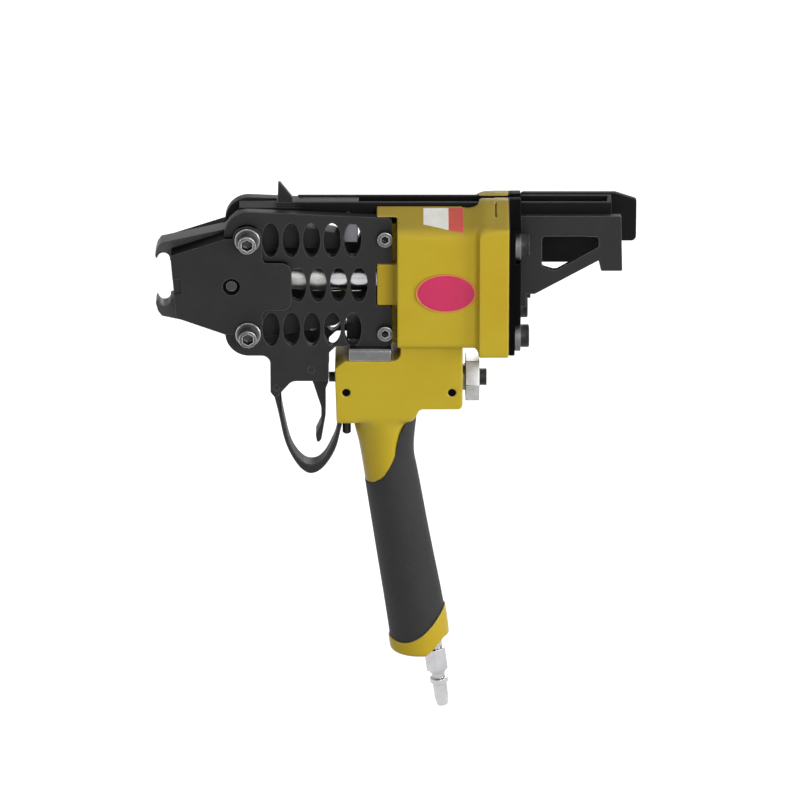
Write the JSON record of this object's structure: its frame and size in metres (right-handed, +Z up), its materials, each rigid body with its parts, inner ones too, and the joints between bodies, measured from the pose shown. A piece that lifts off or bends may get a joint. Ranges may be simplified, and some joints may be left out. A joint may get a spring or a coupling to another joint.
{
  "type": "pneumatic hog ring plier",
  "caption": "Hand-held air plier that closes wire rings: two pivoting jaws in holed side plates, an air cylinder with a handle and trigger, and a ring magazine along its top.",
  "frame": {"origin": "middle of the open jaw mouth, on the axis of the air cylinder", "axes": "+X from the jaws back along the cylinder to the magazine's rear, +Y to the side away from the bolt heads, +Z up from the handle to the magazine"},
  "size_m": [0.2826, 0.066, 0.3356],
  "materials": {
    "yellow": "satin yellow enamel on a casting",
    "dark_steel": "black oxide and oil",
    "jaw_steel": "ground tool steel",
    "bright_steel": "zinc plated",
    "chrome": "polished",
    "spring_steel": "plain",
    "aluminium": "turned",
    "bronze": "plain bearing bronze",
    "rubber": "matt",
    "seal_rubber": "plain"
  },
  "bodies": {
    "body": {"cylinder_body": "yellow", "handle_end_cap": "yellow", "near_side_plate": "dark_steel", "far_side_plate": "dark_steel", "near_nose_plate": "dark_steel", "far_nose_plate": "dark_steel", "trigger_guard": "dark_steel", "magazine_channel": "dark_steel", "near_bracket": "dark_steel", "far_plate": "dark_steel", "rear_cap": "dark_steel", "cap_bolts": "dark_steel", "guard_screw": "dark_steel", "magazine_screws": "dark_steel", "trigger_pin": "dark_steel", "guard_pin": "dark_steel", "valve_set_screws": "dark_steel", "nose_pins": "dark_steel", "plate_spacer": "dark_steel", "pivot_bolts": "bright_steel", "pivot_washers": "bright_steel", "pivot_nuts": "bright_steel", "plate_screws": "bright_steel", "support_bar": "bright_steel", "cap_washers": "bright_steel", "feed_pin": "bright_steel", "pivot_spacers": "bright_steel", "magazine_rest": "bright_steel", "air_plug": "chrome", "valve_plug": "chrome", "jaw_springs": "spring_steel", "return_spring": "spring_steel", "valve_spring": "spring_steel", "feed_spring": "spring_steel", "valve_sleeve": "aluminium", "rod_bush": "bronze", "inlet_filter": "bronze", "grip": "rubber", "front_bumper": "rubber", "cap_gasket": "seal_rubber", "rod_seal": "seal_rubber", "valve_seals": "seal_rubber"},
    "piston_group": {"piston": "aluminium", "piston_seal": "seal_rubber", "piston_nut": "bright_steel", "piston_rod": "chrome", "drive_wedge": "jaw_steel", "wedge_pin": "jaw_steel"},
    "upper_jaw_group": {"upper_jaw": "dark_steel", "upper_roller_pin": "jaw_steel"},
    "lower_jaw_group": {"lower_jaw": "dark_steel", "lower_roller_pin": "jaw_steel"},
    "upper_roller": {"upper_jaw_roller": "jaw_steel"},
    "lower_roller": {"lower_jaw_roller": "jaw_steel"},
    "trigger_group": {"trigger": "dark_steel"},
    "spool_group": {"valve_spool": "dark_steel"},
    "pusher_group": {"pusher": "dark_steel"}
  },
  "joints": [
    {"name": "piston_stroke", "type": "slide", "parent": "body", "child": "piston_group", "axis": [-1, 0, 0], "range_m": [0, 0.022], "stiffness_N_per_m": 400, "springref_m": -0.01, "deforming": ["return_spring"]},
    {"name": "upper_jaw_close", "type": "hinge", "parent": "body", "child": "upper_jaw_group", "pos_m": [0.049, 0, 0.0294], "axis": [0, -1, 0], "range_deg": [0, 14]},
    {"name": "lower_jaw_close", "type": "hinge", "parent": "body", "child": "lower_jaw_group", "pos_m": [0.049, 0, -0.0294], "axis": [0, 1, 0], "range_deg": [0, 14]},
    {"name": "upper_roller_spin", "type": "hinge", "parent": "upper_jaw_group", "child": "upper_roller", "pos_m": [0.066, 0, 0.0095], "axis": [0, 1, 0], "continuous": true},
    {"name": "lower_roller_spin", "type": "hinge", "parent": "lower_jaw_group", "child": "lower_roller", "pos_m": [0.066, 0, -0.0095], "axis": [0, 1, 0], "continuous": true},
    {"name": "trigger_pull", "type": "hinge", "parent": "body", "child": "trigger_group", "pos_m": [0.086, 0, -0.0535], "axis": [0, -1, 0], "range_deg": [0, 5], "stiffness_Nm_per_rad": 1, "springref_deg": -5.73},
    {"name": "valve_shift", "type": "slide", "parent": "body", "child": "spool_group", "axis": [1, 0, 0], "range_m": [0, 0.0009163], "deforming": ["valve_spring"]},
    {"name": "pusher_slide", "type": "slide", "parent": "body", "child": "pusher_group", "axis": [1, 0, 0], "range_m": [0, 0.145], "stiffness_N_per_m": 20, "springref_m": -0.2}
  ],
  "couplings": [
    {"joint": "upper_jaw_close", "follows": "piston_stroke", "rad_per_m": 11.107},
    {"joint": "lower_jaw_close", "follows": "piston_stroke", "rad_per_m": 11.107},
    {"joint": "trigger_pull", "follows": "valve_shift", "rad_per_m": 95.238}
  ]
}
